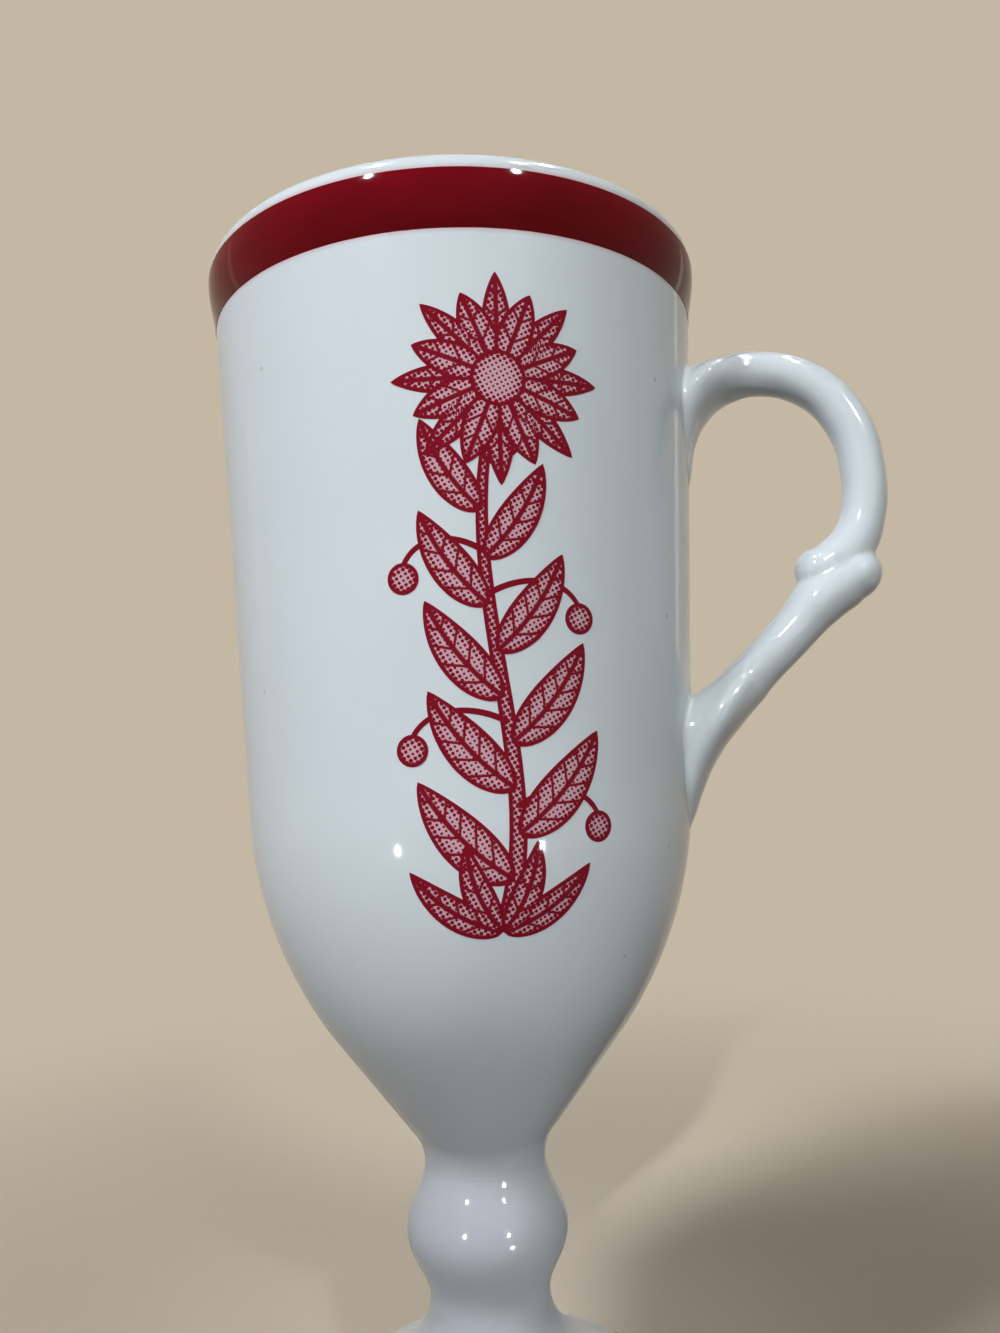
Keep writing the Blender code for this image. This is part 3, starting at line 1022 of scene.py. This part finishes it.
    def build(self) -> tuple[bpy.types.Object, bpy.types.Object, bpy.types.Object]:
        """Model the handle and part it from the slip at its roots.

        Returns:
            The handle, the slip at the upper root and the slip at the lower root.
        """
        handle = self.blank()
        shell = self.bowl.core(self.slip_depth)
        slips = copy_of(handle)
        trim(handle, shell, Trim.CUT_AWAY)
        trim(slips, shell, Trim.KEEP_INSIDE)
        remove(shell)
        upper = slips
        lower = copy_of(slips)
        middle = (self.loop[0][1] + self.arm[-1][1]) / 2
        cut(upper, UP * middle * MM, UP, drop_back=True, fill=False)
        cut(lower, UP * middle * MM, UP, drop_back=False, fill=False)
        for part in (handle, upper, lower):
            weld(part)
        return (settle(handle, "porcelain_handle"), settle(upper, "upper_root_slip"),
                settle(lower, "lower_root_slip"))

    def dress(self, glaze: Glaze, slip_glaze: bpy.types.Material) -> None:
        """Build the handle and the slip at its roots and glaze them.

        Args:
            glaze: Finish of the handle.
            slip_glaze: Material of the slip.
        """
        handle, upper_slip, lower_slip = self.build()
        fit(handle, "handle", glaze.material("glazed_handle"))
        fit(upper_slip, "upper_handle_slip", slip_glaze)
        fit(lower_slip, "lower_handle_slip", slip_glaze)


@dataclass(frozen=True)
class Mark:
    """One place on the print, in millimetres from its middle, and what its ink needs there.

    The edge is the distance from the outline, the vein the place along the veins' pitch and the rib the distance
    from the rib. The last two are set so that neither shows, where a part has none.
    """

    right: float
    up: float
    edge: float
    vein: float = 0.5
    rib: float = 9.0


@dataclass
class Sprig:
    """The front print: a generic flowering sprig, as thin patches of ink that follow the wall.

    Places on it are millimetres to the right of its middle and above its middle. A base leaf is a direction in degrees
    and a length, a berry a share of the stem and a reach, and a ring of petals a turn in petals, a length and a width.
    """

    bowl: Bowl
    middle_z: float = 89.8
    turn: float = math.radians(21.0)
    proud: float = 0.03
    ink: float = 0.1
    stem: tuple[Point, Point, Point, Point] = ((-0.6, -30.0), (4.6, -14.0), (-5.4, 2.0), (0.2, 20.0))
    stem_width: Ramp = Ramp(1.9, -0.9)
    look_ahead: float = 0.01
    leaf_count: int = 10
    leaf_share: Ramp = Ramp(0.1, 0.78)
    leaf_length: Ramp = Ramp(13.2, -3.4)
    leaf_width: Ramp = Ramp(7.4, -2.0)
    leaf_rise: Ramp = Ramp(30.0, 16.0)
    leaf_bend: float = math.radians(30.0)
    leaf_step: float = 0.004
    leaf_fullness: float = 1.75
    leaf_round: float = 0.6
    leaf_point: float = 0.85
    base_leaves: tuple[Point, ...] = ((14.0, 10.5), (48.0, 9.0), (132.0, 9.0), (166.0, 10.5))
    base_width: float = 4.6
    base_bend: float = 0.7
    berries: tuple[Point, ...] = ((0.24, 8.2), (0.4, -9.0), (0.64, 9.0), (0.72, -7.6))
    berry_radius: float = 1.5
    berry_hang: float = 1.1
    stalk_width: Ramp = Ramp(0.6, -0.1)
    stalk_drop: float = 1.2
    stalk_arch: float = 1.8
    stalk_pulls: Point = (0.34, 0.84)
    petal_count: int = 8
    petal_rings: tuple[Station, ...] = ((0.0, 8.8, 4.4), (0.5, 7.4, 5.4))
    petal_start: float = 1.4
    petal_step: float = 0.006
    ring_step: float = 0.012
    bloom: Point = (0.4, 21.6)
    heart_radius: float = 2.7
    vein_pitch: float = 2.1
    leaf_steps: tuple[int, int] = (28, 8)
    twig_steps: tuple[int, int] = (48, 2)
    disc_steps: tuple[int, int] = (14, 14)

    def lay(self, patch: Callable[[float, float], Mark], steps: tuple[int, int], proud: float) -> bpy.types.Object:
        """Lay a grid on the wall as a thin patch.

        Args:
            patch: Mark on the print for a place from -1 to 1 along and across the grid.
            steps: Number of steps along and across.
            proud: Height of the patch over the wall.

        Returns:
            A closed thin patch.
        """
        deselect_all()
        bpy.ops.mesh.primitive_grid_add(x_subdivisions=steps[0], y_subdivisions=steps[1], size=2.0)
        piece = bpy.context.active_object
        drawn = piece.data.attributes.new("ink_map", "FLOAT_VECTOR", "POINT")
        for vertex, entry in zip(piece.data.vertices, drawn.data):
            mark = patch(vertex.co.x, vertex.co.y)
            z = self.middle_z + mark.up
            radius = self.bowl.outer_radius(z)
            angle = self.turn + mark.right / radius
            reach = (radius + proud) * MM
            vertex.co = (self.bowl.axis_x + reach * math.sin(angle), -reach * math.cos(angle), z * MM)
            entry.vector = (mark.edge, mark.vein, mark.rib)
        weld(piece)
        skin = piece.modifiers.new("ink", "SOLIDIFY")
        skin.thickness = self.ink * MM
        skin.offset = -1.0
        apply_modifiers(piece)
        return piece

    def leaf(self, foot: Point, angle: float, length: float, width: float, bend: float,
             proud: float) -> bpy.types.Object:
        """Lay a pointed leaf or petal.

        Args:
            foot: Place where it grows from.
            angle: Direction at its foot in radians, from the right upwards.
            length: Length along its rib.
            width: Greatest width.
            bend: Turn of its direction from foot to tip.
            proud: Height over the wall.

        Returns:
            The leaf's patch.
        """
        def patch(x: float, y: float) -> Mark:
            """Mark at a place on the leaf.

            Args:
                x: Place along the rib.
                y: Place across it.

            Returns:
                The mark.
            """
            share = (x + 1) / 2
            heading = angle + bend * share / 2
            rib = (foot[0] + length * share * math.cos(heading), foot[1] + length * share * math.sin(heading))
            swelling = share ** self.leaf_round * (1 - share) ** self.leaf_point
            half = width / 2 * self.leaf_fullness * swelling
            side = angle + bend * share + math.pi / 2
            vein = (length * share - half * abs(y)) / self.vein_pitch
            return Mark(rib[0] + y * half * math.cos(side), rib[1] + y * half * math.sin(side),
                        half * (1 - abs(y)), vein, half * abs(y))

        return self.lay(patch, self.leaf_steps, proud)

    def twig(self, pulls: tuple[Point, Point, Point, Point], width: Ramp, proud: float) -> bpy.types.Object:
        """Lay a tapering strip along a curve.

        Args:
            pulls: Two ends of the curve and the pulls between them.
            width: Width from its start to its end.
            proud: Height over the wall.

        Returns:
            The strip's patch.
        """
        def patch(x: float, y: float) -> Mark:
            """Mark at a place on the strip.

            Args:
                x: Place along the curve.
                y: Place across it.

            Returns:
                The mark.
            """
            share = (x + 1) / 2
            here = bezier(pulls, share)
            ahead = bezier(pulls, share + self.look_ahead)
            run = math.hypot(ahead[0] - here[0], ahead[1] - here[1])
            half = width.at(share) / 2
            return Mark(here[0] - y * half * (ahead[1] - here[1]) / run,
                        here[1] + y * half * (ahead[0] - here[0]) / run, half * (1 - abs(y)))

        return self.lay(patch, self.twig_steps, proud)

    def disc(self, place: Point, radius: float, proud: float) -> bpy.types.Object:
        """Lay a round berry or the heart of the bloom.

        Args:
            place: Middle of the disc.
            radius: Radius of the disc.
            proud: Height over the wall.

        Returns:
            The disc's patch.
        """
        def patch(x: float, y: float) -> Mark:
            """Mark at a place on a square that is rounded to a disc.

            Args:
                x: Place to the right.
                y: Place upwards.

            Returns:
                The mark.
            """
            right = x * math.sqrt(1 - y * y / 2)
            up = y * math.sqrt(1 - x * x / 2)
            return Mark(place[0] + radius * right, place[1] + radius * up, radius * (1 - math.hypot(right, up)))

        return self.lay(patch, self.disc_steps, proud)

    def build(self) -> bpy.types.Object:
        """Lay the stem, leaves, berries and bloom and join them into one print.

        Returns:
            The print.
        """
        pieces = [self.twig(self.stem, self.stem_width, self.proud)]
        for i in range(self.leaf_count):
            share = self.leaf_share.at(i / (self.leaf_count - 1))
            side = 1 if i % 2 else -1
            rise = math.radians(self.leaf_rise.at(share))
            angle = rise if side > 0 else math.pi - rise
            proud = self.proud + Layer.LEAF.value + self.leaf_step * (i % 3)
            pieces.append(self.leaf(bezier(self.stem, share), angle, self.leaf_length.at(share),
                                    self.leaf_width.at(share), side * self.leaf_bend, proud))
        for degrees, length in self.base_leaves:
            angle = math.radians(degrees)
            bend = math.copysign(self.base_bend, math.cos(angle))
            proud = self.proud + Layer.BASE_LEAF.value
            pieces.append(self.leaf(self.stem[0], angle, length, self.base_width, bend, proud))
        for share, reach in self.berries:
            right, up = bezier(self.stem, share)
            tip = (right + reach, up - self.stalk_drop)
            pulls = [(right + reach * pull, up + self.stalk_arch) for pull in self.stalk_pulls]
            stalk = ((right, up), pulls[0], pulls[1], tip)
            pieces.append(self.twig(stalk, self.stalk_width, self.proud + Layer.STALK.value))
            berry = (tip[0], tip[1] - self.berry_hang)
            pieces.append(self.disc(berry, self.berry_radius, self.proud + Layer.BERRY.value))
        for ring, length, width in self.petal_rings:
            for i in range(self.petal_count):
                angle = 2 * math.pi * (i + ring) / self.petal_count
                foot = (self.bloom[0] + self.petal_start * math.cos(angle),
                        self.bloom[1] + self.petal_start * math.sin(angle))
                proud = self.proud + Layer.PETAL.value + self.ring_step * ring + self.petal_step * (i % 2)
                pieces.append(self.leaf(foot, angle, length, width, 0.0, proud))
        pieces.append(self.disc(self.bloom, self.heart_radius, self.proud + Layer.HEART.value))
        return settle(join(pieces), "red_front_sprig")

    def dress(self, ink: Ink) -> None:
        """Build the print and colour it."""
        fit(self.build(), "front_print", ink.material("red_print_ink", self.turn))


@dataclass
class Lamp:
    """A lamp of the studio, placed by its direction from the cup in degrees and its distance in metres.

    A beam in degrees makes it a spotlight. It points at the cup's axis, aim_mm above the table.
    """

    name: str
    azimuth: float
    elevation: float
    distance: float
    size: float
    power: float
    colour: str = "#FFFFFF"
    shine: Shine = Shine.SHADING
    stretch: Point = (1.0, 1.0)
    beam: float = 0.0
    blend: float = 0.12
    aim_mm: float = 75.3

    def build(self, axis_x: float) -> None:
        """Hang the lamp and turn it towards the cup.

        Args:
            axis_x: Place of the cup's axis in metres.
        """
        azimuth = math.radians(self.azimuth)
        elevation = math.radians(self.elevation)
        level = math.cos(elevation)
        direction = Vector((math.sin(azimuth) * level, -math.cos(azimuth) * level, math.sin(elevation)))
        place = Vector((axis_x, 0.0, self.aim_mm * MM)) + direction * self.distance
        deselect_all()
        bpy.ops.object.light_add(type="SPOT" if self.beam else "AREA", location=place)
        lamp = bpy.context.active_object
        lamp.name = self.name
        lamp.rotation_euler = direction.to_track_quat("Z", "Y").to_euler()
        if self.beam:
            lamp.data.spot_size = math.radians(self.beam)
            lamp.data.spot_blend = self.blend
            lamp.data.shadow_soft_size = self.size / 2
            lamp.scale = (self.stretch[0], self.stretch[1], 1.0)
        else:
            lamp.data.shape = "ELLIPSE"
            lamp.data.size = self.size * self.stretch[0]
            lamp.data.size_y = self.size * self.stretch[1]
        lamp.data.energy = self.power
        lamp.data.color = srgb(self.colour)[:3]
        lamp.visible_camera = False
        lamp.visible_diffuse = self.shine is Shine.SHADING
        lamp.visible_glossy = self.shine is Shine.GLINT


@dataclass
class Studio:
    """Floor, soft light and the camera at the photograph's angle."""

    axis_x: float
    floor_colour: str = "#E6D6BC"
    floor_bounce: str = "#4C4841"
    backdrop: str = "#C4B8A5"
    fade_start: float = 0.06
    fade_end: float = 0.25
    sky: str = "#EEF3FA"
    sky_strength: float = 0.02
    floor_size: float = 6.0
    floor_roughness: float = 0.9
    lens_mm: float = 36.04
    sensor_mm: float = 36.0
    clip_start: float = 0.01
    camera_reach: float = 118.0
    camera_height: float = 75.3
    camera_turn: float = math.radians(13.5)
    camera_yaw: float = math.radians(1.91)
    camera_pitch: float = math.radians(5.56)
    camera_roll: float = math.radians(-2.35)
    lamps: tuple[Lamp, ...] = (
        Lamp("left_key", -39.5, 47.0, 1.0, 0.2, 4.9, "#E9EFFB"),
        Lamp("front_key", 2.0, 22.0, 0.6, 0.02, 8.2, "#EDF7FA", stretch=(1.7, 1.0), beam=10.4, blend=0.07,
             aim_mm=94.0),
        Lamp("front_fill", 5.0, 8.0, 1.2, 0.5, 1.2, "#FBF1EE"),
        Lamp("right_fill", 75.0, 12.0, 1.2, 0.6, 1.4, "#F6F9FC"),
        Lamp("foot_fill", 35.0, 35.0, 0.6, 0.04, 2.9, "#EAF2FF", stretch=(1.6, 1.0), beam=4.6, aim_mm=13.0),
        Lamp("back_fill", 196.0, 14.0, 1.3, 0.9, 11.0, "#F6F9FC"),
        Lamp("left_strip", -100.0, 12.0, 1.0, 0.07, 0.03, shine=Shine.GLINT, stretch=(1.0, 8.0)),
        Lamp("right_strip", 142.0, 12.0, 1.0, 0.09, 0.06, shine=Shine.GLINT, stretch=(1.0, 6.0)),
        Lamp("high_left_glint", -40.0, 68.0, 1.0, 0.04, 4.0, shine=Shine.GLINT),
        Lamp("high_right_glint", 65.0, 66.0, 1.0, 0.04, 4.0, shine=Shine.GLINT),
        Lamp("far_right_glint", 112.0, 70.0, 1.0, 0.04, 4.0, shine=Shine.GLINT),
        Lamp("left_glint", -20.5, 31.0, 1.0, 0.045, 9.0, shine=Shine.GLINT, stretch=(1.0, 1.5)),
        Lamp("right_glint", 42.5, 31.0, 1.0, 0.045, 9.0, shine=Shine.GLINT, stretch=(1.0, 1.5)),
        Lamp("stem_left_glint", -20.5, 33.4, 0.6, 0.05, 5.0, shine=Shine.GLINT, beam=4.2, aim_mm=20.0),
        Lamp("stem_right_glint", 42.5, 33.4, 0.6, 0.05, 5.0, shine=Shine.GLINT, beam=4.2, aim_mm=20.0),
        Lamp("knop_left_glint", -20.5, 17.0, 0.6, 0.05, 5.0, shine=Shine.GLINT, beam=4.2, aim_mm=20.0),
        Lamp("knop_right_glint", 42.5, 17.0, 0.6, 0.05, 5.0, shine=Shine.GLINT, beam=4.2, aim_mm=20.0),
        Lamp("low_right_glint", 45.0, -2.2, 0.2, 0.016, 0.6, shine=Shine.GLINT, beam=12.0, aim_mm=24.0),
        Lamp("shoulder_left_glint", -21.7, -13.6, 0.2, 0.007, 0.1, shine=Shine.GLINT, beam=9.0, aim_mm=64.0),
        Lamp("shoulder_right_glint", 45.0, -14.1, 0.2, 0.007, 0.1, shine=Shine.GLINT, beam=9.0, aim_mm=64.0),
    )

    @staticmethod
    def seen(tree: bpy.types.NodeTree) -> bpy.types.NodeSocket:
        """Add nodes that tell what the camera sees, also in gloss and through glass, from what lights the cup.

        Args:
            tree: Node tree that gets the nodes.

        Returns:
            A share that is 1 where it is seen.
        """
        path = add_node(tree, "ShaderNodeLightPath", {}, {})
        seen = add_node(tree, "ShaderNodeMath", {"operation": "ADD", "use_clamp": True},
                        {0: path.outputs["Is Camera Ray"], 1: path.outputs["Is Glossy Ray"]})
        seen = add_node(tree, "ShaderNodeMath", {"operation": "ADD", "use_clamp": True},
                        {0: seen.outputs[0], 1: path.outputs["Is Transmission Ray"]})
        return seen.outputs[0]

    def lay_floor(self) -> None:
        """Lay a plain pale floor under the cup, which runs into the backdrop further away."""
        deselect_all()
        bpy.ops.mesh.primitive_plane_add(size=self.floor_size, location=(0.0, 0.0, 0.0))
        floor = bpy.context.active_object
        floor.name = "studio_floor"
        # Uncoated paper has no gloss, so only soft light and the cup's shadow show on it.
        material = glossy("matt_paper_floor", self.floor_roughness, gloss=0.0)
        tree = material.node_tree
        shader = tree.nodes["Principled BSDF"]
        seen = self.seen(tree)
        # Towards the cup the paper throws back a darker colour than it shows, which deepens the shade on the cone
        # under the shoulder.
        colour = add_node(tree, "ShaderNodeMix",
                          {"data_type": "RGBA", 6: srgb(self.floor_bounce), 7: srgb(self.floor_colour)}, {0: seen})
        tree.links.new(colour.outputs[2], shader.inputs["Base Color"])
        place = add_node(tree, "ShaderNodeTexCoord", {}, {})
        away = add_node(tree, "ShaderNodeVectorMath", {"operation": "LENGTH"}, {0: place.outputs["Object"]})
        fade = add_node(tree, "ShaderNodeMapRange",
                        {"interpolation_type": "SMOOTHSTEP", "From Min": self.fade_start, "From Max": self.fade_end},
                        {"Value": away.outputs["Value"]})
        share = add_node(tree, "ShaderNodeMath", {"operation": "MULTIPLY"}, {0: fade.outputs["Result"], 1: seen})
        glow = add_node(tree, "ShaderNodeEmission", {"Color": srgb(self.backdrop), "Strength": 1.0}, {})
        mix = add_node(tree, "ShaderNodeMixShader", {},
                       {0: share.outputs[0], 1: shader.outputs[0], 2: glow.outputs[0]})
        tree.links.new(mix.outputs[0], tree.nodes["Material Output"].inputs["Surface"])
        floor.data.materials.append(material)

    def hang_lights(self) -> None:
        """Set the surrounding light and hang the lamps."""
        world = bpy.data.worlds.new("studio")
        bpy.context.scene.world = world
        world.use_nodes = True
        tree = world.node_tree
        tree.nodes.clear()
        light = add_node(tree, "ShaderNodeBackground",
                         {"Color": srgb(self.sky), "Strength": self.sky_strength}, {})
        view = add_node(tree, "ShaderNodeBackground", {"Color": srgb(self.backdrop), "Strength": 1.0}, {})
        mix = add_node(tree, "ShaderNodeMixShader", {},
                       {0: self.seen(tree), 1: light.outputs[0], 2: view.outputs[0]})
        add_node(tree, "ShaderNodeOutputWorld", {}, {"Surface": mix.outputs[0]})
        for lamp in self.lamps:
            lamp.build(self.axis_x)

    def place_camera(self) -> None:
        """Put the camera where the photograph was taken from."""
        yaw = self.camera_yaw - self.camera_turn
        level = math.cos(self.camera_pitch)
        forward = Vector((math.sin(yaw) * level, math.cos(yaw) * level, math.sin(self.camera_pitch)))
        right = Vector((math.cos(yaw), -math.sin(yaw), 0.0))
        up = right.cross(forward)
        turn = Matrix.Rotation(-self.camera_roll, 3, forward)
        right = turn @ right
        up = turn @ up
        deselect_all()
        bpy.ops.object.camera_add()
        camera = bpy.context.active_object
        camera.name = "photo_camera"
        reach = self.camera_reach * MM
        place = Vector((self.axis_x + reach * math.sin(self.camera_turn),
                        -reach * math.cos(self.camera_turn), self.camera_height * MM))
        rotation = Matrix((right, up, -forward)).transposed()
        camera.matrix_world = Matrix.Translation(place) @ rotation.to_4x4()
        camera.data.sensor_fit = "HORIZONTAL"
        camera.data.sensor_width = self.sensor_mm
        camera.data.lens = self.lens_mm
        camera.data.clip_start = self.clip_start
        bpy.context.scene.camera = camera

    def build(self) -> None:
        """Set up the whole studio."""
        bpy.context.scene.view_settings.view_transform = "Standard"
        self.lay_floor()
        self.hang_lights()
        self.place_camera()


def main() -> None:
    """Build every piece of the cup and the studio round it."""
    logging.basicConfig(level=logging.INFO)
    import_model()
    low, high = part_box("bowl")
    axis_x = (low.x + high.x) / 2
    glaze = Glaze()
    slip_glaze = glaze.material("glazed_slip")
    bowl = Bowl(axis_x)
    bowl.dress(glaze)
    Pedestal(axis_x).dress(glaze, slip_glaze)
    Handle(bowl).dress(glaze, slip_glaze)
    RimBand(bowl).dress(Enamel())
    Sprig(bowl).dress(Ink())
    Studio(axis_x).build()


if __name__ == "__main__":
    main()
